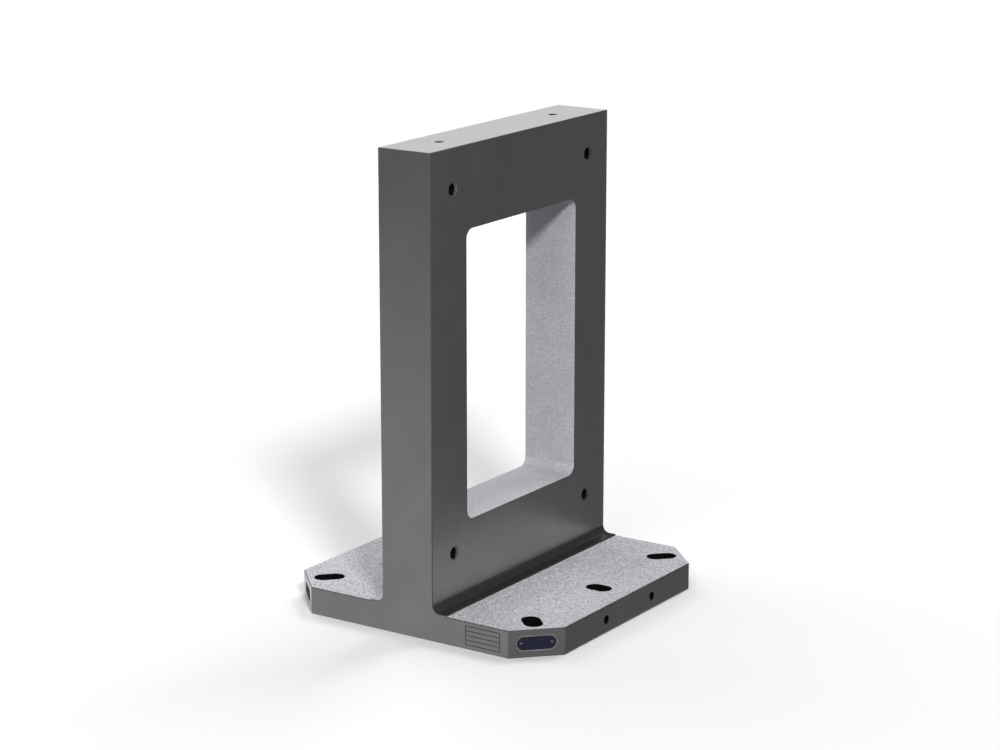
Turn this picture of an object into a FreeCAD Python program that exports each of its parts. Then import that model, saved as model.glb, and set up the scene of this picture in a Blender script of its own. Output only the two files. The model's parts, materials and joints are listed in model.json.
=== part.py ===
"""Single-wall tombstone fixture for a 400 mm machining pallet.

One iron casting, machined all over its outside: a square base plate with cut corners, an upright
wall flush with the plate's front and back, and a window through the wall. Two blank name plates
sit in shallow pockets on the front cut corners, each held by two drive rivets.

Millimetres. The origin is the centre of the base's underside. +X is square to the wall's right
working face, +Y runs along the wall to its back end, and +Z is up.
"""
import FreeCAD
import Part
import math
import os
from FreeCAD import Vector

# Base plate
base_size = 400.0
base_thickness = 35.5
corner_cut = 50.0

# Upright wall, in inches on the real object: 3 thick and 24 over all
wall_thickness = 76.2
overall_height = 609.6
post_width = 76.2
header_height = 104.4
sill_height = 137.0
window_corner_radius = 12.7

# Machined land and root fillet along each foot of the wall
land_reach = 19.05
land_step = 1.6
land_side_slope = 0.8
root_fillet_radius = 9.525

# Slots for the bolts that hold the base on the pallet
slot_width = 24.0
slot_travel = 11.0
slot_edge_distance = 45.0

# Holes right through the wall, tapped 5/8-11 from both working faces and bored to the thread's
# minor diameter
face_tap_bore = 13.5
face_tap_sink = 18.0
face_hole_from_window = 28.6
face_hole_from_top = 50.8
face_hole_above_base = 66.1

# Tapped holes for lifting eyes in the wall's top, 1/2-13
top_tap_bore = 10.7
top_tap_depth = 32.0
top_tap_sink = 11.9
top_hole_spacing = 254.0

# Tapped holes in the base's right side, 1/2-13
side_tap_bore = 10.7
side_tap_depth = 25.0
side_tap_sink = 11.3
side_hole_spacing = 110.0

# Centring bore in the underside
centre_bore_diameter = 50.0
centre_bore_depth = 15.0
centre_bore_chamfer = 1.0

# Name plates in their pockets on the front cut corners
plate_length = 52.0
plate_width = 20.4
plate_thickness = 1.5
plate_rim = 1.4
plate_recess = 0.5
plate_clearance = 0.2

# Drive rivets of the name plates
rivet_spacing = 38.2
rivet_shank_diameter = 2.5
rivet_shank_depth = 5.0
rivet_head_diameter = 3.8
rivet_head_height = 0.8
rivet_hole_spare_depth = 0.6

# Broken edges of the machined outside
edge_break = 0.8

# Shape of a drill's point
drill_point_angle = 118.0

# How far a cutting tool starts outside the metal
tool_overrun = 2.0

# Distance within which an edge counts as lying on a face
tiny = 0.01

half_base = base_size / 2
half_wall = wall_thickness / 2
window_half_width = half_base - post_width
window_top = overall_height - header_height
land_half_width = half_wall + land_reach
land_top = base_thickness + land_step
face_hole_y = window_half_width + face_hole_from_window
face_hole_rows = (base_thickness + face_hole_above_base, overall_height - face_hole_from_top)
slot_centre = half_base - slot_edge_distance
plate_seat_depth = plate_thickness


def prism(points, direction):
    """Solid between a closed outline of points and its copy moved along direction."""
    outline = Part.makePolygon(points + [points[0]])
    return Part.Face(outline).extrude(direction)


def stadium(length, width, height, z=0.0):
    """Upright solid with a stadium outline, its long way along X, centred on the origin."""
    radius = width / 2
    reach = (length - width) / 2
    outline = [
        Part.LineSegment(Vector(-reach, -radius, z), Vector(reach, -radius, z)),
        Part.Arc(Vector(reach, -radius, z), Vector(reach + radius, 0, z), Vector(reach, radius, z)),
        Part.LineSegment(Vector(reach, radius, z), Vector(-reach, radius, z)),
        Part.Arc(Vector(-reach, radius, z), Vector(-reach - radius, 0, z), Vector(-reach, -radius, z)),
    ]
    wire = Part.Wire([curve.toShape() for curve in outline])
    return Part.Face(wire).extrude(Vector(0, 0, height))


def placed(shape, position, outward, along):
    """Copy of a shape modelled with its mouth or face at z = 0, moved so that its Z points
    outward and its X points along."""
    up = outward.cross(along)
    copy = shape.copy()
    seat = FreeCAD.Placement(position, FreeCAD.Rotation(along, up, outward, "ZXY"))
    copy.Placement = seat.multiply(copy.Placement)
    return copy


def turned(points):
    """Solid of revolution about Z from the (radius, z) pairs of its half section."""
    corners = [Vector(radius, 0, z) for radius, z in points]
    section = Part.Face(Part.makePolygon(corners + [corners[0]]))
    return section.revolve(Vector(0, 0, 0), Vector(0, 0, 1), 360)


def blind_tapped_hole(bore, depth, sink):
    """Tool for a blind tapped hole, its mouth at z = 0 and its point down: bore to full depth,
    the cone of the drill's point below it, and a 90 degree countersink at the mouth."""
    radius = bore / 2
    sink_radius = sink / 2
    point_height = radius / math.tan(math.radians(drill_point_angle / 2))
    return turned([
        (0, tool_overrun),
        (sink_radius, tool_overrun),
        (sink_radius, 0),
        (radius, radius - sink_radius),
        (radius, -depth),
        (0, -depth - point_height),
    ])


def through_tapped_hole(bore, length, sink):
    """Tool for a tapped hole right through, centred on the origin along Z, with a 90 degree
    countersink at both mouths."""
    radius = bore / 2
    sink_radius = sink / 2
    mouth = length / 2
    sink_foot = mouth - sink_radius + radius
    return turned([
        (0, -mouth - tool_overrun),
        (sink_radius, -mouth - tool_overrun),
        (sink_radius, -mouth),
        (radius, -sink_foot),
        (radius, sink_foot),
        (sink_radius, mouth),
        (sink_radius, mouth + tool_overrun),
        (0, mouth + tool_overrun),
    ])


def base_plate():
    """Square plate with its four corners cut at 45 degrees."""
    flat = half_base - corner_cut
    corners = []
    for sign_x, sign_y, side_first in ((1, -1, False), (1, 1, True), (-1, 1, False), (-1, -1, True)):
        on_side = Vector(sign_x * half_base, sign_y * flat, 0)
        on_end = Vector(sign_x * flat, sign_y * half_base, 0)
        corners += [on_side, on_end] if side_first else [on_end, on_side]
    return prism(corners, Vector(0, 0, base_thickness))


def wall_with_feet():
    """Upright wall with a land and a root fillet along each foot: the section of its right half
    swept along Y, and its mirror image."""
    y = -half_base
    fillet_top = land_top + root_fillet_radius
    fillet_out = half_wall + root_fillet_radius
    inset = root_fillet_radius * (1 - math.sqrt(0.5))
    land_foot = land_half_width + land_side_slope
    section = [
        Part.LineSegment(Vector(0, y, 0), Vector(0, y, overall_height)),
        Part.LineSegment(Vector(0, y, overall_height), Vector(half_wall, y, overall_height)),
        Part.LineSegment(Vector(half_wall, y, overall_height), Vector(half_wall, y, fillet_top)),
        Part.Arc(
            Vector(half_wall, y, fillet_top),
            Vector(half_wall + inset, y, land_top + inset),
            Vector(fillet_out, y, land_top),
        ),
        Part.LineSegment(Vector(fillet_out, y, land_top), Vector(land_half_width, y, land_top)),
        Part.LineSegment(Vector(land_half_width, y, land_top), Vector(land_foot, y, base_thickness)),
        Part.LineSegment(Vector(land_foot, y, base_thickness), Vector(land_foot, y, 0)),
        Part.LineSegment(Vector(land_foot, y, 0), Vector(0, y, 0)),
    ]
    wire = Part.Wire([curve.toShape() for curve in section])
    half = Part.Face(wire).extrude(Vector(0, base_size, 0))
    return half.fuse(half.mirror(Vector(0, 0, 0), Vector(1, 0, 0)))


def window():
    """Tool for the window through the wall, with rounded corners."""
    height = window_top - sill_height
    opening = Part.makeBox(
        wall_thickness + 2 * tool_overrun,
        2 * window_half_width,
        height,
        Vector(-half_wall - tool_overrun, -window_half_width, sill_height),
    )
    corners = [edge for edge in opening.Edges if abs(edge.tangentAt(edge.FirstParameter).x) > 0.5]
    return opening.makeFillet(window_corner_radius, corners)


def pallet_slots():
    """Tools for the slots in the base: one at each corner along the diagonal, and one at the
    middle of each side, all pointing at the base's centre."""
    tools = []
    top = base_thickness + tool_overrun
    for sign_x in (1, -1):
        for sign_y in (1, 0, -1):
            travel = slot_travel * math.hypot(1, sign_y)
            tool = stadium(slot_width + travel, slot_width, top + tool_overrun, -tool_overrun)
            tool.rotate(Vector(0, 0, 0), Vector(0, 0, 1), math.degrees(math.atan2(sign_y, sign_x)))
            tool.translate(Vector(sign_x * slot_centre, sign_y * slot_centre, 0))
            tools.append(tool)
    return tools


def working_face_holes():
    """Tools for the four tapped holes that run through the wall from face to face."""
    hole = through_tapped_hole(face_tap_bore, wall_thickness, face_tap_sink)
    return [
        placed(hole, Vector(0, y, z), Vector(1, 0, 0), Vector(0, 0, 1))
        for y in (-face_hole_y, face_hole_y)
        for z in face_hole_rows
    ]


def lifting_holes():
    """Tools for the two tapped holes in the top of the wall."""
    hole = blind_tapped_hole(top_tap_bore, top_tap_depth, top_tap_sink)
    tools = []
    for sign in (-1, 1):
        mouth = Vector(0, sign * top_hole_spacing / 2, overall_height)
        tools.append(placed(hole, mouth, Vector(0, 0, 1), Vector(1, 0, 0)))
    return tools


def base_side_holes():
    """Tools for the two tapped holes in the base's right side, at half its thickness."""
    hole = blind_tapped_hole(side_tap_bore, side_tap_depth, side_tap_sink)
    tools = []
    for sign in (-1, 1):
        mouth = Vector(half_base, sign * side_hole_spacing / 2, base_thickness / 2)
        tools.append(placed(hole, mouth, Vector(1, 0, 0), Vector(0, 0, 1)))
    return tools


def centring_bore():
    """Tool for the blind bore in the middle of the underside, with a chamfered mouth."""
    radius = centre_bore_diameter / 2
    return turned([
        (0, -tool_overrun),
        (radius + centre_bore_chamfer, -tool_overrun),
        (radius + centre_bore_chamfer, 0),
        (radius, centre_bore_chamfer),
        (radius, centre_bore_depth),
        (0, centre_bore_depth),
    ])


def on_front_corner(shape, side):
    """Copy of a shape modelled flat, moved onto a front cut corner of the base: its X lies along
    the cut face, its Y up and its Z out. side is 1 for the right corner and -1 for the left."""
    middle = half_base - corner_cut / 2
    outward = Vector(side, -1, 0).normalize()
    along = Vector(1, side, 0).normalize()
    return placed(shape, Vector(side * middle, -middle, base_thickness / 2), outward, along)


def rivet_places():
    """Centres of the two rivets on a plate, in the plate's own plane."""
    return [Vector(-rivet_spacing / 2, 0, 0), Vector(rivet_spacing / 2, 0, 0)]


def plate_pocket():
    """Tool for a name plate's pocket and its two rivet holes, with the cut face at z = 0."""
    pocket = stadium(
        plate_length + 2 * plate_clearance,
        plate_width + 2 * plate_clearance,
        plate_seat_depth + tool_overrun,
        -plate_seat_depth,
    )
    depth = plate_seat_depth + rivet_shank_depth + rivet_hole_spare_depth
    for place in rivet_places():
        bottom = place - Vector(0, 0, depth)
        pocket = pocket.fuse(Part.makeCylinder(rivet_shank_diameter / 2, depth, bottom))
    return pocket


def nameplate():
    """Blank plate with a raised rim, its rim's face at z = 0."""
    plate = stadium(plate_length, plate_width, plate_thickness, -plate_thickness)
    field = stadium(
        plate_length - 2 * plate_rim,
        plate_width - 2 * plate_rim,
        plate_recess + tool_overrun,
        -plate_recess,
    )
    plate = plate.cut(field)
    hole_length = plate_thickness + 2 * tool_overrun
    for place in rivet_places():
        bottom = place - Vector(0, 0, plate_thickness + tool_overrun)
        plate = plate.cut(Part.makeCylinder(rivet_shank_diameter / 2, hole_length, bottom))
    return plate


def drive_rivet():
    """Round-headed drive rivet, the underside of its head on the plate's recessed field."""
    shank_radius = rivet_shank_diameter / 2
    head_radius = rivet_head_diameter / 2
    seat = -plate_recess
    tip = -plate_seat_depth - rivet_shank_depth
    crown = seat + rivet_head_height
    dome_radius = (head_radius ** 2 + rivet_head_height ** 2) / (2 * rivet_head_height)
    half_angle = math.asin(head_radius / dome_radius) / 2
    shoulder_drop = dome_radius * (1 - math.cos(half_angle))
    shoulder = Vector(dome_radius * math.sin(half_angle), 0, crown - shoulder_drop)
    profile = [
        Part.LineSegment(Vector(0, 0, tip), Vector(shank_radius, 0, tip)),
        Part.LineSegment(Vector(shank_radius, 0, tip), Vector(shank_radius, 0, seat)),
        Part.LineSegment(Vector(shank_radius, 0, seat), Vector(head_radius, 0, seat)),
        Part.Arc(Vector(head_radius, 0, seat), shoulder, Vector(0, 0, crown)),
        Part.LineSegment(Vector(0, 0, crown), Vector(0, 0, tip)),
    ]
    wire = Part.Wire([curve.toShape() for curve in profile])
    return Part.Face(wire).revolve(Vector(0, 0, 0), Vector(0, 0, 1), 360)


def break_edges(body):
    """Body with small chamfers on all its outer edges: round the wall's top, round both end faces,
    up the base's corners, and round the base's top and underside."""
    chosen = []
    for edge in body.Edges:
        middle = edge.CenterOfMass
        on_end = abs(abs(middle.y) - half_base) < tiny
        on_side = abs(abs(middle.x) - half_base) < tiny
        on_cut_corner = abs(abs(middle.x) + abs(middle.y) - base_size + corner_cut) < tiny
        on_top = abs(middle.z - overall_height) < tiny
        if on_end or on_side or on_cut_corner or on_top:
            chosen.append(edge)
    return body.makeChamfer(edge_break, chosen)


def casting():
    """The whole casting, machined."""
    body = break_edges(base_plate().fuse(wall_with_feet()).removeSplitter())
    tools = [window()] + pallet_slots() + working_face_holes() + lifting_holes() + base_side_holes()
    tools.append(centring_bore())
    for side in (1, -1):
        tools.append(on_front_corner(plate_pocket(), side))
    for tool in tools:
        body = body.cut(tool)
    return body.removeSplitter()


def drive_rivets():
    """The four rivets as one group of separate solids."""
    rivets = []
    for side in (1, -1):
        for place in rivet_places():
            rivet = drive_rivet()
            rivet.translate(place)
            rivets.append(on_front_corner(rivet, side))
    return Part.makeCompound(rivets)


nodes = {
    "casting": casting(),
    "nameplate_right": on_front_corner(nameplate(), 1),
    "nameplate_left": on_front_corner(nameplate(), -1),
    "drive_rivets": drive_rivets(),
}

os.makedirs("parts", exist_ok=True)
for name, shape in nodes.items():
    shape.exportStep(os.path.join("parts", name + ".step"))
    volume = round(shape.Volume / 1000, 2)
    print(name, len(shape.Solids), "solids", volume, "cm3", "valid", shape.isValid())
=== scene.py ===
"""Looks of a single-wall tombstone fixture for a machining pallet.

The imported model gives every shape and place. This script dresses it: it taps the threads and
engraves a ruled field into a copy of the casting, roughens the faces left as cast, rounds the rims
of the name plates, gives every surface its finish, and sets the studio.

Metres, in the model's own frame: +X square to the wall's right face, +Y along the wall to its back
end, +Z up.
"""
import json
import math

import bmesh
import bpy
from bpy.props import FloatProperty, FloatVectorProperty, IntProperty, PointerProperty
from bpy.types import Operator, Panel, PropertyGroup
from mathutils import Matrix, Vector


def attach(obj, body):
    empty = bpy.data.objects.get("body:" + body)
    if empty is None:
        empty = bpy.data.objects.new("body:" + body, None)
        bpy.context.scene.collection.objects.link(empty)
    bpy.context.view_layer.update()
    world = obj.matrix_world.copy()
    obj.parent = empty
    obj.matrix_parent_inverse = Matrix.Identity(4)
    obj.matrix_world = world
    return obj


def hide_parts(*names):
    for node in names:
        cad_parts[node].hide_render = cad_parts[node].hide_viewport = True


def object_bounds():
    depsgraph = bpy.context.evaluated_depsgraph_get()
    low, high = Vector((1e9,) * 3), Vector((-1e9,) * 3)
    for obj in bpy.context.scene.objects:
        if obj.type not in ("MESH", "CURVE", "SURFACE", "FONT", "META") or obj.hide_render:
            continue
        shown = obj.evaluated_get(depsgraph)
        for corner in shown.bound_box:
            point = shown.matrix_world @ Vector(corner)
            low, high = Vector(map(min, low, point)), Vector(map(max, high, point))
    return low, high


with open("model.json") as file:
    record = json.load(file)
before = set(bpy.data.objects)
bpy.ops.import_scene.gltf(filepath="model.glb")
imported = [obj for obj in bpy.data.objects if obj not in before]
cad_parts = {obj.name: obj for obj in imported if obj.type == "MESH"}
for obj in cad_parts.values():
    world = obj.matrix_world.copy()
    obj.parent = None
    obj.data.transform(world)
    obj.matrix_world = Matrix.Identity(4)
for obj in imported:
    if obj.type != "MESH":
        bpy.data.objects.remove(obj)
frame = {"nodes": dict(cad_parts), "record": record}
CAD_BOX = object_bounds()

bl_info = {
    "name": "Tombstone Fixture",
    "version": (1, 0, 0),
    "blender": (4, 5, 0),
    "location": "View3D > Sidebar > Fixture",
    "description": "Threads, cast skin, name plates and finishes of a tombstone fixture",
    "category": "Object",
}

# Names of the finished pieces
CASTING = "tombstone_casting"
PLATES = {"nameplate_right": "name_plate_right", "nameplate_left": "name_plate_left"}
RIVETS = "drive_rivets"

# Finishes of the casting, in the order of its material slots
# Bored, formed and sunk are darker copies of the iron: painted shade in slots, holes, roots, broken
# edges, engraved lines and countersinks
MACHINED, CAST, BORED_PAINTED_SHADE, FORMED_PAINTED_SHADE, SUNK_PAINTED_SHADE = range(5)

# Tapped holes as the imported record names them, and the height that their countersinks keep within
TAPPED_HOLES = ("right_face_taps", "left_face_taps", "lifting_taps", "right_side_taps")
SINK_HEIGHT = 0.0025

# How deep a tapped hole's faces may lie, and how far from its axis, in radii of the bore
DEEPEST_HOLE = 0.045
HOLE_RADII = 1.34

# How far the lands and root fillets reach from the wall's faces, and above the base's top
ROOT_REACH = 0.0200
ROOT_HEIGHT = 0.0116

# How far the window's walls and rounded corners may lie outside its stated open space
WINDOW_MARGIN = 0.006

# A face narrower than this breaks an edge
EDGE_BREAK = 0.0012

# Least upward part of the normal of a face in the roots, which tells it from an upright face
LEAST_TILT = 0.01

# A thread's core and crest inside and outside the bore's wall, the turns over which it runs out,
# and the turns that the cutter has beyond its length, all in pitches
CORE_DEPTH = 0.12
CREST_HEIGHT = 0.515
RUN_OUT_TURNS = 2
SPARE_TURNS = 4

# Distance within which two points are one, and a face lies on a plane
TOUCH = 0.00002
ON_PLANE = 0.0002

# How much of a direction a unit normal has at least when its face looks that way, and at most when
# its face stands across it
FACING = 0.9
ACROSS = 0.5

# Angles in degrees: a bend that is still one flat face, the bends that stay smooth in the shading
# of the casting and of the plates, and the bend from which a plate's edge is rounded
FLAT_BEND = 0.3
CASTING_BEND = 32
PLATE_BEND = 30
ROUNDED_BEND = 40

# Range that most values of a noise lie in
NOISE = (0.3, 0.7)

# How far the studio's flags keep off the floor and the model, how high the standing ones reach,
# and the power by which their shade changes with height
FLAG_GAP = 0.0005
FLAG_CLEARANCE = 0.001
FLAG_TOP = 0.8
FLAG_CURVE = 1.5

MM_PER_M = 1000

X_AXIS = Vector((1, 0, 0))
Y_AXIS = Vector((0, 1, 0))
Z_AXIS = Vector((0, 0, 1))
AXES = (X_AXIS, Y_AXIS, Z_AXIS)


def mount(name):
    """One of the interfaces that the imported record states."""
    return next(m for m in frame["record"]["mounts"] if m["name"] == name)


def open_boxes(start):
    """Lowest and highest corners of the open spaces whose names begin with start."""
    found = [o for o in frame["record"]["physics"]["openings"] if o["name"].startswith(start)]
    return [(Vector(o["box_m"][0]), Vector(o["box_m"][1])) for o in found]


def in_box(point, box, margin):
    """Whether a point lies in a box that is grown by a margin on every side."""
    return all(box[0][i] - margin <= point[i] <= box[1][i] + margin for i in range(3))


def hole_places(name):
    """Middles of a stated bolt pattern's holes, at the foot of their countersinks."""
    stated = mount(name)
    outward = Vector(stated["axis"])
    rows = [axis for axis in AXES if abs(axis.dot(outward)) < ACROSS]
    places = [Vector(stated["pos_m"])]
    for row, key in zip(rows, ("spacing_x_mm", "spacing_y_mm")):
        half = stated["dims"].get(key, 0) / MM_PER_M / 2
        if half:
            places = [place + row * half * sign for place in places for sign in (-1, 1)]
    return places


def select_only(piece):
    """Make a piece the one that operators act on."""
    bpy.ops.object.select_all(action="DESELECT")
    piece.select_set(True)
    bpy.context.view_layer.objects.active = piece


def whole_copy(node, name):
    """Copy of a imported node, its loose triangles merged into one skin of whole faces."""
    piece = bpy.data.objects.new(name, frame["nodes"][node].data.copy())
    bpy.context.scene.collection.objects.link(piece)
    piece.data.materials.clear()
    select_only(piece)
    bpy.ops.mesh.customdata_custom_splitnormals_clear()
    bpy.ops.object.mode_set(mode="EDIT")
    bpy.ops.mesh.select_all(action="SELECT")
    bpy.ops.mesh.remove_doubles(threshold=TOUCH)
    bpy.ops.mesh.dissolve_limited(angle_limit=math.radians(FLAT_BEND))
    bpy.ops.object.mode_set(mode="OBJECT")
    return piece


def smooth(piece, degrees):
    """Shade a piece smooth but for its edges sharper than an angle, its large faces flat."""
    select_only(piece)
    bpy.ops.mesh.customdata_custom_splitnormals_clear()
    bpy.ops.object.shade_smooth_by_angle(angle=math.radians(degrees))
    weighing = piece.modifiers.new("weighing", "WEIGHTED_NORMAL")
    weighing.keep_sharp = True
    bpy.ops.object.modifier_apply(modifier=weighing.name)


def cut_away(piece, tool, finish):
    """Take a closed tool's space out of a piece, and delete the tool. The new faces get a
    finish."""
    for material in piece.data.materials:
        tool.data.materials.append(material)
    for face in tool.data.polygons:
        face.material_index = finish
    select_only(piece)
    cut = piece.modifiers.new("cut", "BOOLEAN")
    cut.operation = "DIFFERENCE"
    cut.solver = "MANIFOLD"
    cut.material_mode = "INDEX"
    cut.object = tool
    bpy.ops.object.modifier_apply(modifier=cut.name)
    bpy.data.objects.remove(tool)


class CastingSettings(PropertyGroup):
    grain_pitch: FloatProperty(
        name="Grain pitch", description="Spacing of the points that carry the cast grain",
        default=0.0021, min=0.0005, unit="LENGTH")
    top_grain: FloatProperty(
        name="Top grain", description="Size of the bumps on the base's top",
        default=0.0065, min=0.001, unit="LENGTH")
    top_relief: FloatProperty(
        name="Top relief", description="Height of the bumps on the base's top from valley to peak",
        default=0.0034, min=0, unit="LENGTH")
    window_grain: FloatProperty(
        name="Window grain", description="Size of the bumps round the window",
        default=0.0026, min=0.001, unit="LENGTH")
    window_relief: FloatProperty(
        name="Window relief",
        description="Height of the bumps round the window from valley to peak",
        default=0.0005, min=0, unit="LENGTH")
    wave_size: FloatProperty(
        name="Wave size", description="Size of the slow waves in a cast face",
        default=0.045, min=0.001, unit="LENGTH")
    wave_height: FloatProperty(
        name="Wave height", description="Height of the slow waves in a cast face",
        default=0.0006, min=0, unit="LENGTH")
    machined_colour: FloatVectorProperty(
        name="Machined", description="Colour of the machined iron",
        default=(0.32, 0.32, 0.32), min=0, max=1, subtype="COLOR")
    cast_colour: FloatVectorProperty(
        name="As cast", description="Colour of the faces left as cast",
        default=(0.488, 0.490, 0.524), min=0, max=1, subtype="COLOR")
    # Painted shade: darker than the machined colour, for roots, broken edges and engraved lines
    formed_painted_shade_colour: FloatVectorProperty(
        name="Formed", description="Colour of the root fillets and broken edges",
        default=(0.115, 0.115, 0.115), min=0, max=1, subtype="COLOR")
    # Painted shade: darker than the machined colour, for the countersinks
    sunk_painted_shade_colour: FloatVectorProperty(
        name="Sunk", description="Colour of the countersinks",
        default=(0.22, 0.22, 0.22), min=0, max=1, subtype="COLOR")
    # Painted shade: near black for the walls of slots and tapped holes
    bored_painted_shade_colour: FloatVectorProperty(
        name="Bored", description="Colour of the walls of slots and tapped holes",
        default=(0.004, 0.0042, 0.0045), min=0, max=1, subtype="COLOR")


class ThreadSettings(PropertyGroup):
    face_pitch: FloatProperty(
        name="Face pitch", description="Pitch of the 5/8-11 threads in the wall's faces",
        default=0.0254 / 11, min=0.0001, unit="LENGTH")
    face_depth: FloatProperty(
        name="Face depth", description="Length of the threads in the wall's faces",
        default=0.030, min=0.001, unit="LENGTH")
    small_pitch: FloatProperty(
        name="Small pitch",
        description="Pitch of the 1/2-13 threads in the wall's top and the base's side",
        default=0.0254 / 13, min=0.0001, unit="LENGTH")
    top_depth: FloatProperty(
        name="Top depth", description="Length of the threads in the wall's top",
        default=0.027, min=0.001, unit="LENGTH")
    side_depth: FloatProperty(
        name="Side depth", description="Length of the threads in the base's side",
        default=0.020, min=0.001, unit="LENGTH")
    facets: IntProperty(
        name="Facets", description="Flats round each turn of a thread", default=28, min=8)


class FieldSettings(PropertyGroup):
    left: FloatProperty(
        name="Left edge", description="Place of the engraved field's left edge across the front",
        default=0.0874, unit="LENGTH")
    width: FloatProperty(
        name="Width", description="Width of the engraved field",
        default=0.0501, min=0, unit="LENGTH")
    foot: FloatProperty(
        name="Foot", description="Height of the engraved field's lower edge",
        default=0.0060, min=0, unit="LENGTH")
    rows: IntProperty(
        name="Rows", description="Number of rows that the field is ruled into", default=4, min=1)
    row_height: FloatProperty(
        name="Row height", description="Spacing of the ruled lines",
        default=0.0060, min=0, unit="LENGTH")
    line_width: FloatProperty(
        name="Line width", description="Width of an engraved line",
        default=0.0011, min=0, unit="LENGTH")
    line_depth: FloatProperty(
        name="Line depth", description="Depth of an engraved line",
        default=0.0006, min=0, unit="LENGTH")


class PlateSettings(PropertyGroup):
    rounding: FloatProperty(
        name="Rounding", description="Radius along the edges of the name plates' rims",
        default=0.00022, min=0, unit="LENGTH")
    enamel_colour: FloatVectorProperty(
        name="Enamel", description="Colour of the name plates' field",
        default=(0.019, 0.020, 0.036), min=0, max=1, subtype="COLOR")
    metal_colour: FloatVectorProperty(
        name="Plate metal", description="Colour of the plates' bare rims",
        default=(0.80, 0.80, 0.82), min=0, max=1, subtype="COLOR")
    rivet_colour: FloatVectorProperty(
        name="Rivet metal", description="Colour of the drive rivets",
        default=(0.20, 0.20, 0.22), min=0, max=1, subtype="COLOR")


class StudioSettings(PropertyGroup):
    azimuth: FloatProperty(
        name="Azimuth", description="Turn of the camera about the fixture",
        default=math.radians(33.795), subtype="ANGLE")
    elevation: FloatProperty(
        name="Elevation", description="How far the camera looks down",
        default=math.radians(14.329), subtype="ANGLE")
    camera_place: FloatVectorProperty(
        name="Camera", description="Place of the camera",
        default=(1.91395, -2.85334, 1.16925), subtype="TRANSLATION", unit="LENGTH")
    lens: FloatProperty(
        name="Lens", description="Focal length on a 36 mm frame, in millimetres",
        default=100.2, min=1)
    ambient: FloatProperty(
        name="Ambient", description="Strength of the light that comes from all round",
        default=0.30, min=0)
    key: FloatProperty(
        name="Key", description="Light that the lamp at the front right casts",
        default=0.86, min=0)
    fill: FloatProperty(
        name="Fill", description="Light that the broad lamp on the left casts",
        default=0.50, min=0)
    rear: FloatProperty(
        name="Rear", description="Light that the lamp high behind casts", default=0.46, min=0)
    front: FloatProperty(
        name="Front", description="Light that the lamp in front casts", default=0.24, min=0)
    back_power: FloatProperty(
        name="Back", description="Power of the lamp low behind on the left, in watts",
        default=3.9, min=0)


class Nodes:
    """Small helper that adds nodes to one material or world and links them."""

    def __init__(self, owner, output="ShaderNodeOutputMaterial"):
        owner.use_nodes = True
        self.tree = owner.node_tree
        self.tree.nodes.clear()
        self.output = self.add(output)

    def add(self, kind, **settings):
        node = self.tree.nodes.new(kind)
        for name, value in settings.items():
            setattr(node, name, value)
        return node

    def link(self, source, target):
        self.tree.links.new(source, target)

    def surface(self, base_colour, metallic, roughness):
        """Principled surface with constant values, joined to the output."""
        shader = self.add("ShaderNodeBsdfPrincipled")
        shader.inputs["Base Color"].default_value = (*base_colour, 1)
        shader.inputs["Metallic"].default_value = metallic
        shader.inputs["Roughness"].default_value = roughness
        self.link(shader.outputs["BSDF"], self.output.inputs["Surface"])
        return shader

    def places(self, stretch=(1, 1, 1)):
        """Object coordinates, stretched by a factor along each axis."""
        coordinates = self.add("ShaderNodeTexCoord")
        mapping = self.add("ShaderNodeMapping")
        mapping.inputs["Scale"].default_value = stretch
        self.link(coordinates.outputs["Object"], mapping.inputs["Vector"])
        return mapping.outputs["Vector"]

    def upward(self):
        """How far the surface faces up, from -1 to 1."""
        shape = self.add("ShaderNodeNewGeometry")
        parts = self.add("ShaderNodeSeparateXYZ")
        self.link(shape.outputs["True Normal"], parts.inputs["Vector"])
        return parts.outputs["Z"]

    def height(self):
        """How high the surface lies above the floor."""
        parts = self.add("ShaderNodeSeparateXYZ")
        self.link(self.places(), parts.inputs["Vector"])
        return parts.outputs["Z"]

    def noise(self, where, size, detail, roughness=0.5):
        """Noise whose features are about size across, from 0 to 1."""
        texture = self.add("ShaderNodeTexNoise")
        texture.inputs["Scale"].default_value = 1 / size
        texture.inputs["Detail"].default_value = detail
        texture.inputs["Roughness"].default_value = roughness
        self.link(where, texture.inputs["Vector"])
        return texture.outputs["Fac"]

    def spread(self, value, low_in, high_in, low_out, high_out):
        """A value's range from low_in to high_in, mapped to low_out to high_out."""
        mapping = self.add("ShaderNodeMapRange")
        mapping.inputs["From Min"].default_value = low_in
        mapping.inputs["From Max"].default_value = high_in
        mapping.inputs["To Min"].default_value = low_out
        mapping.inputs["To Max"].default_value = high_out
        self.link(value, mapping.inputs["Value"])
        return mapping.outputs["Result"]

    def product(self, first, second):
        """Two values multiplied."""
        multiply = self.add("ShaderNodeMath", operation="MULTIPLY")
        self.link(first, multiply.inputs[0])
        self.link(second, multiply.inputs[1])
        return multiply.outputs["Value"]

    def shaded(self, colour, factor):
        """A colour made lighter or darker by a factor."""
        scale = self.add("ShaderNodeVectorMath", operation="SCALE")
        scale.inputs[0].default_value = colour
        self.link(factor, scale.inputs["Scale"])
        return scale.outputs["Vector"]

    def bump(self, height, distance, strength):
        """Normal of a surface raised by a height from 0 to 1 times distance."""
        bump = self.add("ShaderNodeBump")
        bump.inputs["Distance"].default_value = distance
        bump.inputs["Strength"].default_value = strength
        self.link(height, bump.inputs["Height"])
        return bump.outputs["Normal"]


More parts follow.
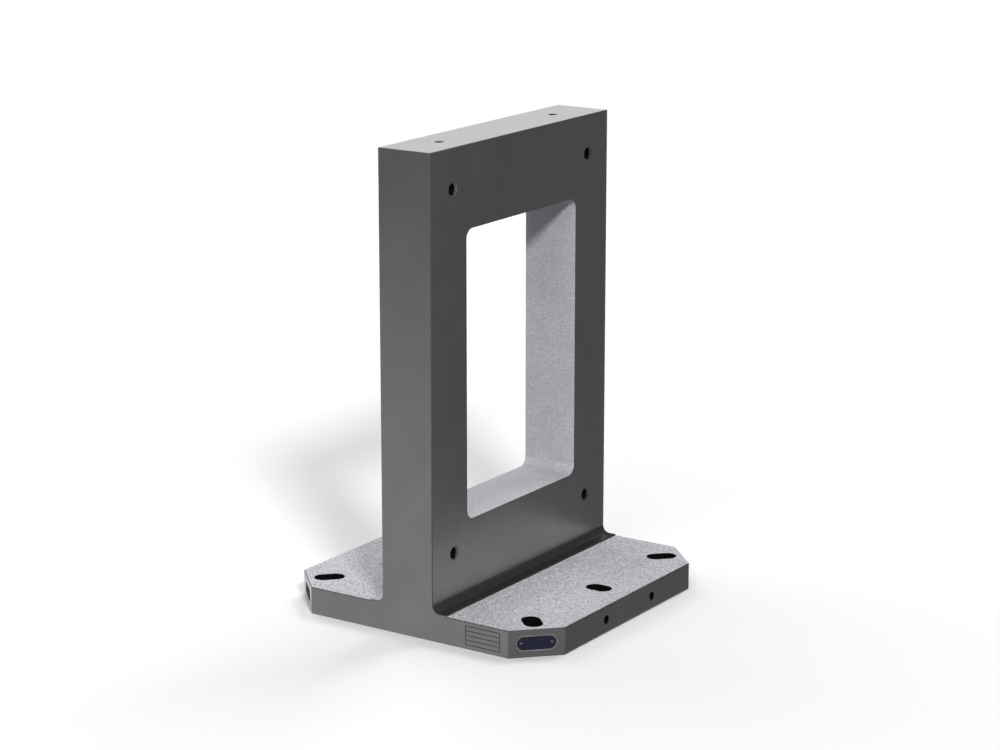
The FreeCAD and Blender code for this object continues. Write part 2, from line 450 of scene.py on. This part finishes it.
def machined_iron(colour):
    """Finely milled and ground iron: dark grey, satin, with faint tool lines and cloudiness."""
    material = bpy.data.materials.new("machined_iron")
    nodes = Nodes(material)
    shader = nodes.surface(colour, metallic=0.9, roughness=0.3)
    clouds = nodes.noise(nodes.places(), size=0.06, detail=3)
    lines = nodes.noise(nodes.places((60, 2, 60)), size=0.02, detail=4, roughness=0.6)
    shade = nodes.spread(clouds, *NOISE, 0.95, 1.05)
    nodes.link(nodes.shaded(colour, shade), shader.inputs["Base Color"])
    nodes.link(nodes.spread(lines, *NOISE, 0.27, 0.34), shader.inputs["Roughness"])
    nodes.link(nodes.bump(lines, distance=0.00001, strength=0.25), shader.inputs["Normal"])
    return material


def cast_iron(colour):
    """Iron as it leaves the sand: light grey, matt, grainy and slightly blotched. The finer sand
    of the window's core left a smoother skin. Painted shade darkens faces that lie flat, the sill
    most."""
    material = bpy.data.materials.new("cast_iron")
    nodes = Nodes(material)
    shader = nodes.surface(colour, metallic=0.0, roughness=0.62)
    blotches = nodes.noise(nodes.places(), size=0.05, detail=3)
    streaks = nodes.noise(nodes.places(), size=0.012, detail=3, roughness=0.6)
    pits = nodes.noise(nodes.places(), size=0.0027, detail=1)
    window = nodes.spread(nodes.height(), 0.05, 0.10, 0, 1)
    coarse = nodes.spread(window, 0, 1, 1, 0.4)
    depth = nodes.product(nodes.spread(pits, 0.36, 0.60, 0.44, 0), coarse)
    # Painted shade: faces that lie flat are darkened, and those at the window's height (its sill)
    # more
    lying = nodes.spread(nodes.upward(), 0.2, 0.9, 0, 1)
    painted_upward_shade = nodes.product(
        nodes.spread(lying, 0, 1, 1, 0.83),
        nodes.spread(nodes.product(lying, window), 0, 1, 1, 0.82))
    pits_and_painted_shade = nodes.product(nodes.spread(depth, 0, 1, 1, 0), painted_upward_shade)
    mottle = nodes.product(
        nodes.spread(blotches, *NOISE, 0.96, 1.05),
        nodes.spread(streaks, 0.3, 0.65, 0.97, 1.05))
    nodes.link(nodes.shaded(colour, nodes.product(pits_and_painted_shade, mottle)), shader.inputs["Base Color"])
    relief = nodes.bump(nodes.product(pits, coarse), distance=0.0012, strength=1.0)
    nodes.link(relief, shader.inputs["Normal"])
    return material


def formed_iron(name, colour, roughness):
    """Roots, broken edges, engraved lines or countersinks, cut by form tools: the same iron,
    duller, and darker by painted shade."""
    material = bpy.data.materials.new(name)
    nodes = Nodes(material)
    shader = nodes.surface(colour, metallic=0.9, roughness=roughness)
    lines = nodes.noise(nodes.places((80, 1.5, 80)), size=0.02, detail=3)
    rough = nodes.spread(lines, *NOISE, roughness - 0.04, roughness + 0.04)
    nodes.link(rough, shader.inputs["Roughness"])
    return material


def bored_iron(colour):
    """Walls of slots and tapped holes, seldom reached by light: near black with painted shade, and
    dull.
    """
    material = bpy.data.materials.new("bored_iron")
    nodes = Nodes(material)
    shader = nodes.surface(colour, metallic=0.0, roughness=0.45)
    shader.inputs["Specular IOR Level"].default_value = 0.12
    marks = nodes.noise(nodes.places(), size=0.003, detail=3)
    nodes.link(nodes.spread(marks, *NOISE, 0.4, 0.55), shader.inputs["Roughness"])
    return material


def plate_enamel(colour):
    """Dark enamel gone dull, with a slight ripple."""
    material = bpy.data.materials.new("plate_enamel")
    nodes = Nodes(material)
    shader = nodes.surface(colour, metallic=0.0, roughness=0.6)
    shader.inputs["Specular IOR Level"].default_value = 0.03
    ripple = nodes.noise(nodes.places(), size=0.004, detail=2)
    shade = nodes.spread(ripple, *NOISE, 0.9, 1.12)
    nodes.link(nodes.shaded(colour, shade), shader.inputs["Base Color"])
    nodes.link(nodes.bump(ripple, distance=0.00002, strength=0.5), shader.inputs["Normal"])
    return material


def scuffed_metal(name, colour):
    """Bare light metal of the plates' rims or the rivets, with fine scuffs."""
    material = bpy.data.materials.new(name)
    nodes = Nodes(material)
    shader = nodes.surface(colour, metallic=1.0, roughness=0.2)
    scuffs = nodes.noise(nodes.places(), size=0.0012, detail=4)
    nodes.link(nodes.spread(scuffs, *NOISE, 0.15, 0.3), shader.inputs["Roughness"])
    shade = nodes.spread(scuffs, *NOISE, 0.9, 1.0)
    nodes.link(nodes.shaded(colour, shade), shader.inputs["Base Color"])
    return material


def in_root(face):
    """Whether a face belongs to a land or a root fillet along the wall's foot."""
    wall_side = mount("right_working_face")["pos_m"][0]
    base_top = mount("middle_slots")["pos_m"][2]
    reach = abs(face.center.x) - wall_side
    height = face.center.z - base_top
    outwards = abs(face.normal.y) < FACING and face.normal.z > LEAST_TILT
    return outwards and 0 < reach < ROOT_REACH and 0 < height < ROOT_HEIGHT


def in_slot(face):
    """Whether a face belongs to the wall of one of the base's six slots."""
    slots = mount("middle_slots")["dims"]
    aside = slots["spacing_x_mm"] / MM_PER_M / 2
    reach = slots["hole_r_mm"] / MM_PER_M * 2
    place = (abs(face.center.x), abs(face.center.y))
    near = min(math.dist(place, (aside, 0)), math.dist(place, (aside, aside))) < reach
    return near and abs(face.normal.z) < ACROSS


def hole_depth(face):
    """Depth of a face of a tapped hole below the foot of the hole's countersink, less than zero in
    the countersink. None for a face that belongs to no tapped hole."""
    for name in TAPPED_HOLES:
        outward = Vector(mount(name)["axis"])
        reach = mount(name)["dims"]["hole_r_mm"] / MM_PER_M * HOLE_RADII
        for place in hole_places(name):
            inside = face.center - place
            depth = -inside.dot(outward)
            radius = (inside + outward * depth).length
            inwards = face.normal.dot(outward) < FACING
            if -SINK_HEIGHT < depth < DEEPEST_HOLE and radius < reach and inwards:
                return depth
    return None


def strip_width(mesh, face):
    """Width of a face of a mesh, taken as a long thin strip."""
    corners = [mesh.vertices[i].co for i in face.vertices]
    around = sum(math.dist(a, b) for a, b in zip(corners, corners[1:] + corners[:1]))
    return 2 * face.area / around


def casting_finish(mesh, face):
    """Which finish a face of the casting has, from its place and the way it looks. The right land
    lies in the corner by the wall's broad face, and gets the roots' darker finish, painted shade."""
    base_top = mount("middle_slots")["pos_m"][2]
    if face.normal.z > FACING and abs(face.center.z - base_top) < ON_PLANE:
        return CAST
    by_window = any(in_box(face.center, box, WINDOW_MARGIN) for box in open_boxes("window"))
    if abs(face.normal.x) < ACROSS and by_window:
        return CAST
    # Painted shade: slot walls, root fillets, the right land, hole walls, countersinks and broken
    # edges get darker finishes
    if in_slot(face):
        return BORED_PAINTED_SHADE
    # Painted shade: the roots and the right land get the darker finish, the left land keeps the
    # machined one
    if in_root(face):
        left_land = face.center.x < 0 and face.normal.z > FACING
        return MACHINED if left_land else FORMED_PAINTED_SHADE
    depth = hole_depth(face)
    if depth is not None:
        return BORED_PAINTED_SHADE if depth > 0 else SUNK_PAINTED_SHADE
    return FORMED_PAINTED_SHADE if strip_width(mesh, face) < EDGE_BREAK else MACHINED


def tap(radius, pitch, length, facets):
    """Closed cutter for a right-hand thread, its mouth at z = 0 with a turn standing out above it.
    The ridge stands out from a core that is thinner than the bore, and its last two turns at the
    bottom run out into the core."""
    core = radius - pitch * CORE_DEPTH
    crest = radius + pitch * CREST_HEIGHT
    profile = [(core, -1 / 8), (core, 1 / 8), (crest, 7 / 16), (crest, 9 / 16), (core, 7 / 8)]
    foot = -length - pitch
    mesh = bpy.data.meshes.new("tap")
    points = [(x, 0, foot + z * pitch) for x, z in profile]
    mesh.from_pydata(points, [(i, i + 1) for i in range(len(points) - 1)], [])
    tool = bpy.data.objects.new("tap", mesh)
    bpy.context.scene.collection.objects.link(tool)
    select_only(tool)
    screw = tool.modifiers.new("thread", "SCREW")
    screw.axis = "Z"
    screw.screw_offset = pitch
    screw.iterations = round(length / pitch) + SPARE_TURNS
    screw.steps = screw.render_steps = facets
    bpy.ops.object.modifier_apply(modifier=screw.name)
    for vertex in tool.data.vertices:
        share = min(1, max(0, (vertex.co.z + length) / (RUN_OUT_TURNS * pitch)))
        ring = math.hypot(vertex.co.x, vertex.co.y)
        wanted = core + (ring - core) * share
        vertex.co.x *= wanted / ring
        vertex.co.y *= wanted / ring
    bpy.ops.object.mode_set(mode="EDIT")
    bpy.ops.mesh.select_all(action="SELECT")
    bpy.ops.mesh.remove_doubles(threshold=TOUCH)
    for end, outward in ((-length, -Z_AXIS), (pitch, Z_AXIS)):
        bpy.ops.mesh.select_all(action="SELECT")
        bpy.ops.mesh.bisect(
            plane_co=Z_AXIS * end, plane_no=outward, threshold=TOUCH / 10,
            use_fill=True, clear_outer=True)
    bpy.ops.mesh.select_all(action="SELECT")
    bpy.ops.mesh.normals_make_consistent(inside=False)
    bpy.ops.object.mode_set(mode="OBJECT")
    return tool


def engraving_line(start, end, width, depth):
    """Round-nosed cutter for one engraved line on the front face, from start to end."""
    radius = (width * width / 4 + depth * depth) / (2 * depth)
    along = end - start
    bpy.ops.object.select_all(action="DESELECT")
    bpy.ops.mesh.primitive_uv_sphere_add(segments=16, ring_count=8, radius=radius)
    tool = bpy.context.active_object
    bpy.ops.object.mode_set(mode="EDIT")
    for sign in (-1, 1):
        bpy.ops.mesh.select_all(action="DESELECT")
        bpy.ops.object.mode_set(mode="OBJECT")
        for vertex in tool.data.vertices:
            vertex.select = vertex.co.z * sign > TOUCH
        bpy.ops.object.mode_set(mode="EDIT")
        bpy.ops.mesh.select_mode(type="VERT")
        bpy.ops.transform.translate(value=Z_AXIS * sign * along.length / 2)
    bpy.ops.object.mode_set(mode="OBJECT")
    outward = -Y_AXIS
    turn = along.to_track_quat("Z", "Y").to_matrix().to_4x4()
    middle = (start + end) / 2 + outward * (radius - depth)
    tool.data.transform(Matrix.Translation(middle) @ turn)
    return tool


def rule_cast_faces(piece, pitch):
    """Cut the cast faces of a piece into a fine square grid."""
    grid = bmesh.new()
    grid.from_mesh(piece.data)
    for axis, direction in enumerate(AXES):
        ahead = [face for face in grid.faces if face.material_index == CAST]
        low = min(vertex.co[axis] for face in ahead for vertex in face.verts)
        high = max(vertex.co[axis] for face in ahead for vertex in face.verts)
        for line in range(1, math.ceil((high - low) / pitch)):
            place = low + line * pitch
            edges = {edge for face in ahead for edge in face.edges}
            vertices = {vertex for face in ahead for vertex in face.verts}
            cut = bmesh.ops.bisect_plane(
                grid, geom=[*vertices, *edges, *ahead], dist=TOUCH,
                plane_co=direction * place, plane_no=direction)
            faces = [part for part in cut["geom"] if isinstance(part, bmesh.types.BMFace)]
            ahead = [face for face in faces if face.calc_center_median()[axis] > place]
    grid.to_mesh(piece.data)
    grid.free()


def cast_relief(piece, group, size, height):
    """Raise and sink the vertices of a group by noise, along their normals."""
    texture = bpy.data.textures.new(group, "CLOUDS")
    texture.noise_scale = size
    texture.noise_depth = 2
    select_only(piece)
    relief = piece.modifiers.new(group, "DISPLACE")
    relief.texture = texture
    relief.texture_coords = "LOCAL"
    relief.strength = height
    relief.mid_level = 0.5
    relief.vertex_group = group
    bpy.ops.object.modifier_apply(modifier=relief.name)


class FIXTURE_OT_casting(Operator):
    """Copy the casting as one clean skin, and tell its machined, cast and bored faces apart"""
    bl_idname = "fixture.casting"
    bl_label = "Casting"

    def execute(self, context):
        casting = whole_copy("casting", CASTING)
        settings = context.scene.fixture_casting
        for material in (
            machined_iron(settings.machined_colour),
            cast_iron(settings.cast_colour),
            bored_iron(settings.bored_painted_shade_colour),
            formed_iron("formed_iron", settings.formed_painted_shade_colour, roughness=0.38),
            formed_iron("sunk_iron", settings.sunk_painted_shade_colour, roughness=0.6),
        ):
            casting.data.materials.append(material)
        for face in casting.data.polygons:
            face.material_index = casting_finish(casting.data, face)
        smooth(casting, CASTING_BEND)
        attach(casting, "root")
        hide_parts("casting")
        return {"FINISHED"}


class FIXTURE_OT_cast_skin(Operator):
    """Give the faces left as cast their sand grain and slow waves"""
    bl_idname = "fixture.cast_skin"
    bl_label = "Cast skin"

    def execute(self, context):
        casting = bpy.data.objects[CASTING]
        settings = context.scene.fixture_casting
        pitch = settings.grain_pitch
        rule_cast_faces(casting, pitch)
        base_top = mount("middle_slots")["pos_m"][2]
        top, window, edge = set(), set(), set()
        for face in casting.data.polygons:
            if face.material_index != CAST:
                edge.update(face.vertices)
            elif abs(face.center.z - base_top) < ON_PLANE:
                top.update(face.vertices)
            else:
                window.update(face.vertices)
        groups = {
            "top_skin": top - edge,
            "window_skin": window - edge,
            "cast_skin": (top | window) - edge,
        }
        for name, vertices in groups.items():
            casting.vertex_groups.new(name=name).add(sorted(vertices), 1, "REPLACE")
        cast_relief(casting, "cast_skin", settings.wave_size, settings.wave_height)
        cast_relief(casting, "top_skin", settings.top_grain, settings.top_relief)
        cast_relief(casting, "window_skin", settings.window_grain, settings.window_relief)
        smooth(casting, CASTING_BEND)
        return {"FINISHED"}


class FIXTURE_OT_threads(Operator):
    """Tap the threads into the casting's bored holes"""
    bl_idname = "fixture.threads"
    bl_label = "Threads"

    def execute(self, context):
        casting = bpy.data.objects[CASTING]
        settings = context.scene.fixture_threads
        jobs = (
            ("right_face_taps", settings.face_pitch, settings.face_depth),
            ("left_face_taps", settings.face_pitch, settings.face_depth),
            ("lifting_taps", settings.small_pitch, settings.top_depth),
            ("right_side_taps", settings.small_pitch, settings.side_depth),
        )
        for name, pitch, depth in jobs:
            radius = mount(name)["dims"]["hole_r_mm"] / MM_PER_M
            turn = Vector(mount(name)["axis"]).to_track_quat("Z", "Y").to_matrix().to_4x4()
            for place in hole_places(name):
                tool = tap(radius, pitch, depth, settings.facets)
                tool.data.transform(Matrix.Translation(place) @ turn)
                # Painted shade: the threads' faces get the near-black bored finish
                cut_away(casting, tool, BORED_PAINTED_SHADE)
        smooth(casting, CASTING_BEND)
        return {"FINISHED"}


class FIXTURE_OT_field(Operator):
    """Engrave a ruled field into the base's front face"""
    bl_idname = "fixture.field"
    bl_label = "Ruled field"

    def execute(self, context):
        casting = bpy.data.objects[CASTING]
        settings = context.scene.fixture_field
        front = CAD_BOX[0].y
        left, right = settings.left, settings.left + settings.width
        top = settings.foot + settings.rows * settings.row_height
        ends = []
        for row in range(settings.rows + 1):
            z = settings.foot + row * settings.row_height
            ends.append((Vector((left, front, z)), Vector((right, front, z))))
        for x in (left, right):
            ends.append((Vector((x, front, settings.foot)), Vector((x, front, top))))
        for start, end in ends:
            tool = engraving_line(start, end, settings.line_width, settings.line_depth)
            # Painted shade: the engraved lines get the darker formed finish
            cut_away(casting, tool, FORMED_PAINTED_SHADE)
        smooth(casting, CASTING_BEND)
        return {"FINISHED"}


class FIXTURE_OT_plates(Operator):
    """Round the rims of the name plates and enamel their fields"""
    bl_idname = "fixture.plates"
    bl_label = "Name plates"

    def execute(self, context):
        settings = context.scene.fixture_plates
        metal = scuffed_metal("plate_metal", settings.metal_colour)
        enamel = plate_enamel(settings.enamel_colour)
        for node, name in PLATES.items():
            plate = whole_copy(node, name)
            side = 1 if node == "nameplate_right" else -1
            outward = Vector((side, -1, 0)).normalized()
            rim = max(vertex.co.dot(outward) for vertex in plate.data.vertices)
            plate.data.materials.append(metal)
            plate.data.materials.append(enamel)
            for face in plate.data.polygons:
                sunk = rim - face.center.dot(outward) > ON_PLANE
                face.material_index = int(sunk and face.normal.dot(outward) > FACING)
            select_only(plate)
            rounding = plate.modifiers.new("rounding", "BEVEL")
            rounding.width = settings.rounding
            rounding.segments = 3
            rounding.limit_method = "ANGLE"
            rounding.angle_limit = math.radians(ROUNDED_BEND)
            bpy.ops.object.modifier_apply(modifier=rounding.name)
            smooth(plate, PLATE_BEND)
            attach(plate, "root")
            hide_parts(node)
        return {"FINISHED"}


class FIXTURE_OT_rivets(Operator):
    """Give the drive rivets their metal"""
    bl_idname = "fixture.rivets"
    bl_label = "Drive rivets"

    def execute(self, context):
        settings = context.scene.fixture_plates
        rivets = frame["nodes"][RIVETS]
        rivets.data.materials.clear()
        rivets.data.materials.append(scuffed_metal("rivet_metal", settings.rivet_colour))
        return {"FINISHED"}


def white_to_the_eye(nodes, plain, white):
    """Mix of two shaders: plain where light falls, and white where the camera, a mirror or glass
    looks."""
    path = nodes.add("ShaderNodeLightPath")
    seen = path.outputs["Is Camera Ray"]
    for ray in ("Is Glossy Ray", "Is Transmission Ray"):
        either = nodes.add("ShaderNodeMath", operation="MAXIMUM")
        nodes.link(seen, either.inputs[0])
        nodes.link(path.outputs[ray], either.inputs[1])
        seen = either.outputs["Value"]
    mix = nodes.add("ShaderNodeMixShader")
    nodes.link(seen, mix.inputs["Fac"])
    nodes.link(plain, mix.inputs[1])
    nodes.link(white, mix.inputs[2])
    return mix.outputs["Shader"]


def floor_paint():
    """Pale floor, lifted to white where the eye sees it, that keeps the shadows."""
    material = bpy.data.materials.new("floor_paint")
    nodes = Nodes(material)
    plain = nodes.add("ShaderNodeBsdfDiffuse")
    plain.inputs["Color"].default_value = (0.12, 0.12, 0.12, 1)
    pale = nodes.add("ShaderNodeBsdfDiffuse")
    pale.inputs["Color"].default_value = (0.60, 0.60, 0.60, 1)
    glow = nodes.add("ShaderNodeEmission")
    glow.inputs["Strength"].default_value = 0.01
    lifted = nodes.add("ShaderNodeAddShader")
    nodes.link(pale.outputs["BSDF"], lifted.inputs[0])
    nodes.link(glow.outputs["Emission"], lifted.inputs[1])
    shader = white_to_the_eye(nodes, plain.outputs["BSDF"], lifted.outputs["Shader"])
    nodes.link(shader, nodes.output.inputs["Surface"])
    return material


def studio_air(ambient):
    """World that lights the model evenly, and is white where the eye sees it."""
    world = bpy.data.worlds.new("studio_air")
    nodes = Nodes(world, "ShaderNodeOutputWorld")
    air = nodes.add("ShaderNodeBackground")
    air.inputs["Strength"].default_value = ambient
    white = nodes.add("ShaderNodeBackground")
    shader = white_to_the_eye(nodes, air.outputs["Background"], white.outputs["Background"])
    nodes.link(shader, nodes.output.inputs["Surface"])
    return world


def hang(lamp, place, direction):
    """Lamp hung at a place, so that its light comes from a direction."""
    holder = bpy.data.objects.new(lamp.name, lamp)
    holder.location = place
    holder.rotation_euler = direction.to_track_quat("Z", "Y").to_euler()
    bpy.context.scene.collection.objects.link(holder)
    return holder


def near_lamp(name, place, target, size, power):
    """Rectangular lamp at a place, turned to a target."""
    lamp = bpy.data.lights.new(name, "AREA")
    lamp.shape = "RECTANGLE"
    lamp.size, lamp.size_y = size
    lamp.energy = power
    hang(lamp, place, Vector(place) - Vector(target)).visible_camera = False


def far_lamp(name, direction, spread, light):
    """Distant lamp in a direction, spread degrees across, that casts a light of 1 where a white
    card that faces it would look just white. Polished faces mirror the white air in its place."""
    lamp = bpy.data.lights.new(name, "SUN")
    lamp.angle = math.radians(spread)
    lamp.energy = light * math.pi
    hang(lamp, Vector(direction) * 3, Vector(direction)).visible_glossy = False


def grey_flag(name, corners, low, high, top):
    """Grey card outside the picture that only polished faces reflect. Its shade goes from low at
    the floor to high at the height top, slowly at first."""
    mesh = bpy.data.meshes.new(name)
    mesh.from_pydata(corners, [], [(0, 1, 2, 3)])
    card = bpy.data.objects.new(name, mesh)
    bpy.context.scene.collection.objects.link(card)
    material = bpy.data.materials.new(name)
    nodes = Nodes(material)
    grey = nodes.add("ShaderNodeEmission")
    curve = nodes.add("ShaderNodeMath", operation="POWER")
    curve.inputs[1].default_value = FLAG_CURVE
    nodes.link(nodes.spread(nodes.height(), 0, top, 0, 1), curve.inputs[0])
    nodes.link(nodes.spread(curve.outputs["Value"], 0, 1, low, high), grey.inputs["Strength"])
    nodes.link(grey.outputs["Emission"], nodes.output.inputs["Surface"])
    mesh.materials.append(material)
    card.visible_camera = False
    card.visible_diffuse = False
    card.visible_transmission = False
    card.visible_shadow = False


def standing_flag(name, start, end, low, high, top, foot=FLAG_GAP):
    """Flag that stands upright along a line from start to end."""
    (x0, y0), (x1, y1) = start, end
    corners = [(x0, y0, foot), (x1, y1, foot), (x1, y1, FLAG_TOP), (x0, y0, FLAG_TOP)]
    grey_flag(name, corners, low, high, top)


def lying_flag(name, start, end, shade):
    """Flag that lies on the floor over a rectangle from start to end."""
    (x0, y0), (x1, y1) = start, end
    corners = [(x, y, FLAG_GAP) for x, y in ((x0, y0), (x1, y0), (x1, y1), (x0, y1))]
    grey_flag(name, corners, shade, shade, top=1)


class FIXTURE_OT_studio(Operator):
    """Set the floor, the backdrop, the lamps and the camera"""
    bl_idname = "fixture.studio"
    bl_label = "Studio"

    def execute(self, context):
        settings = context.scene.fixture_studio
        scene = context.scene
        bpy.ops.object.select_all(action="DESELECT")
        bpy.ops.mesh.primitive_plane_add(size=30, location=(0, 0, 0))
        floor = context.active_object
        floor.name = "studio_floor"
        floor.data.materials.append(floor_paint())

        scene.world = studio_air(settings.ambient)

        far_lamp("key_lamp", (0.62, -0.54, 0.61), spread=9, light=settings.key)
        far_lamp("fill_lamp", (-0.68, 0.20, 0.72), spread=45, light=settings.fill)
        far_lamp("rear_lamp", (0.05, 0.55, 0.80), spread=25, light=settings.rear)
        far_lamp("front_lamp", (0.10, -0.70, 0.75), spread=30, light=settings.front)
        near_lamp(
            "back_lamp", place=(-1.7, 2.6, 1.45), target=(0, 0, 0.6), size=(2.4, 1.1),
            power=settings.back_power)

        right = CAD_BOX[1].x + FLAG_CLEARANCE
        back = CAD_BOX[1].y + FLAG_CLEARANCE
        front = CAD_BOX[0].y - FLAG_CLEARANCE
        far_front = front - 0.25
        standing_flag("side_flag", (right, -0.15), (right, back), low=0.136, high=0.118, top=0.3)
        standing_flag(
            "back_flag", (0.039, back), (right, back), low=0.136, high=0.118, top=0.3, foot=0.0360)
        standing_flag(
            "front_flag", (-0.8, far_front), (0.15, far_front), low=0.488, high=0.20, top=0.52)
        lying_flag("front_floor_flag", (-0.8, far_front), (0.15, front), shade=0.488)
        lying_flag("corner_flag", (0.15, -0.6), (0.6, -0.15), shade=0.195)

        camera_data = bpy.data.cameras.new("camera")
        camera_data.lens = settings.lens
        camera_data.sensor_width = 36
        camera_data.clip_end = 100
        camera = bpy.data.objects.new("camera", camera_data)
        camera.location = settings.camera_place
        camera.rotation_euler = (math.pi / 2 - settings.elevation, 0, settings.azimuth)
        scene.collection.objects.link(camera)
        scene.camera = camera
        scene.view_settings.view_transform = "Standard"
        return {"FINISHED"}


OPERATORS = (
    FIXTURE_OT_casting,
    FIXTURE_OT_cast_skin,
    FIXTURE_OT_threads,
    FIXTURE_OT_field,
    FIXTURE_OT_plates,
    FIXTURE_OT_rivets,
    FIXTURE_OT_studio,
)

SETTINGS = {
    "fixture_casting": CastingSettings,
    "fixture_threads": ThreadSettings,
    "fixture_field": FieldSettings,
    "fixture_plates": PlateSettings,
    "fixture_studio": StudioSettings,
}


class FIXTURE_PT_panel(Panel):
    """Steps and settings of the fixture"""
    bl_idname = "FIXTURE_PT_panel"
    bl_label = "Tombstone fixture"
    bl_space_type = "VIEW_3D"
    bl_region_type = "UI"
    bl_category = "Fixture"

    def draw(self, context):
        for operator in OPERATORS:
            self.layout.operator(operator.bl_idname)
        for name, group in SETTINGS.items():
            box = self.layout.box()
            for key in group.__annotations__:
                box.prop(getattr(context.scene, name), key)


def register():
    for name, group in SETTINGS.items():
        bpy.utils.register_class(group)
        setattr(bpy.types.Scene, name, PointerProperty(type=group))
    for part in (*OPERATORS, FIXTURE_PT_panel):
        bpy.utils.register_class(part)


def unregister():
    for part in (FIXTURE_PT_panel, *reversed(OPERATORS)):
        bpy.utils.unregister_class(part)
    for name, group in SETTINGS.items():
        delattr(bpy.types.Scene, name)
        bpy.utils.unregister_class(group)


def main():
    """Dress the fixture and set the studio, one step after the other."""
    register()
    bpy.ops.fixture.casting()
    bpy.ops.fixture.cast_skin()
    bpy.ops.fixture.threads()
    bpy.ops.fixture.field()
    bpy.ops.fixture.plates()
    bpy.ops.fixture.rivets()
    bpy.ops.fixture.studio()


if __name__ == "__main__":
    main()
